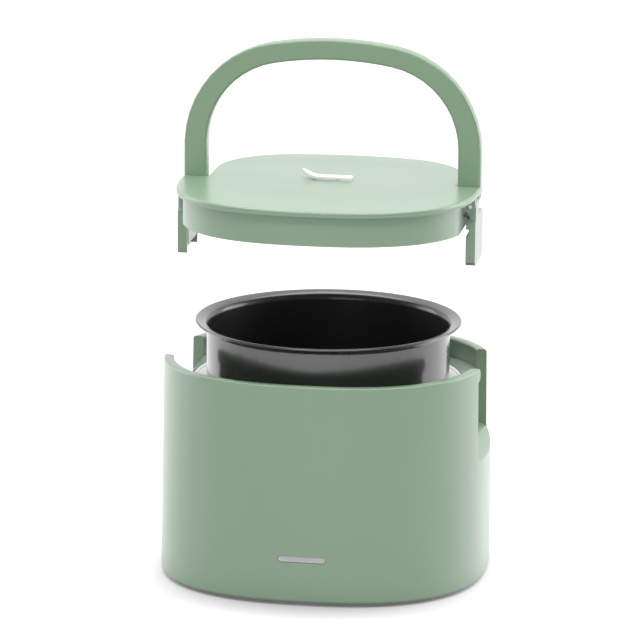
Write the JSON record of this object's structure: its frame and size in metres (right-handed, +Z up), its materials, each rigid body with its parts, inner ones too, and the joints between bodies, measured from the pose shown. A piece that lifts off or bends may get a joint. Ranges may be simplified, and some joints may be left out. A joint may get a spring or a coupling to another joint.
{
  "type": "electric lunch box",
  "caption": "Free-standing electric lunch box shown apart: oval housing with heating well and side notches, bowl lifted, lid above with folding handle, vent flap and side latches.",
  "frame": {"origin": "on the table, under the middle of the housing", "axes": "+Z up, the lamp window faces -Y, the mains inlet +Y, the latches are at -X and +X"},
  "size_m": [0.1844, 0.1762, 0.3002],
  "materials": {
    "sage": "moulded, satin sage green",
    "handle_sage": "moulded, satin, a little darker sage green",
    "cover_sage": "moulded, matt sage green",
    "well_metal": "spun, satin silver",
    "black_rubber": "matt black",
    "cast_heater": "cast, matt",
    "tube_steel": "drawn, dulled",
    "ceramic": "pale glazed body",
    "bright_steel": "zinc plated",
    "black_plastic": "moulded black",
    "pin_metal": "nickel plated",
    "lens": "pale smoked lens",
    "board_green": "green laminate",
    "led": "pale body",
    "wire_cover": "soft sleeve, red and black",
    "bowl_metal": "dark coated, satin, bright lip",
    "white_silicone": "matt white silicone"
  },
  "bodies": {
    "base": {"housing": "sage", "deck": "sage", "heating_well": "well_metal", "well_seal": "black_rubber", "heater_plate": "cast_heater", "heating_tube": "tube_steel", "thermostat": "ceramic", "thermostat_clip": "bright_steel", "thermal_fuse": "ceramic", "fuse_clip": "bright_steel", "bridge": "bright_steel", "heater_nuts": "bright_steel", "inner_screws": "bright_steel", "bottom_cover": "cover_sage", "rubber_feet": "black_rubber", "cover_screws": "bright_steel", "mains_inlet": "black_plastic", "inlet_pins": "pin_metal", "lamp_lens": "lens", "lamp_board": "board_green", "lamp_leds": "led", "wiring": "wire_cover"},
    "bowl": {"bowl": "bowl_metal"},
    "lid": {"lid_cover": "sage", "lid_liner": "sage", "lid_seal": "white_silicone", "lid_screws": "bright_steel", "vent_anchor": "white_silicone", "latch_pin_left": "bright_steel", "latch_pin_right": "bright_steel"},
    "handle": {"handle": "handle_sage", "handle_pins": "bright_steel"},
    "vent_flap": {"vent_flap": "white_silicone"},
    "latch_left": {"latch_left": "sage"},
    "latch_right": {"latch_right": "sage"}
  },
  "joints": [
    {"name": "bowl_slide", "type": "slide", "parent": "base", "child": "bowl", "axis": [0, 0, 1], "range_m": [-0.0317, 0.05]},
    {"name": "lid_slide", "type": "slide", "parent": "bowl", "child": "lid", "axis": [0, 0, 1], "range_m": [-0.0596, 0.05]},
    {"name": "latch_right_hinge", "type": "hinge", "parent": "lid", "child": "latch_right", "pos_m": [0.081, -0.005, 0.213], "axis": [0, -1, 0], "range_deg": [-4.5, 70]},
    {"name": "latch_left_hinge", "type": "hinge", "parent": "lid", "child": "latch_left", "pos_m": [-0.081, -0.005, 0.213], "axis": [0, 1, 0], "range_deg": [-4.5, 70]},
    {"name": "handle_hinge", "type": "hinge", "parent": "lid", "child": "handle", "pos_m": [0, 0.0095, 0.2159], "axis": [-1, 0, 0], "range_deg": [0, 90]},
    {"name": "vent_hinge", "type": "hinge", "parent": "lid", "child": "vent_flap", "pos_m": [0.0029, 0.01, 0.2214], "axis": [0, 1, 0], "range_deg": [0, 70]}
  ]
}
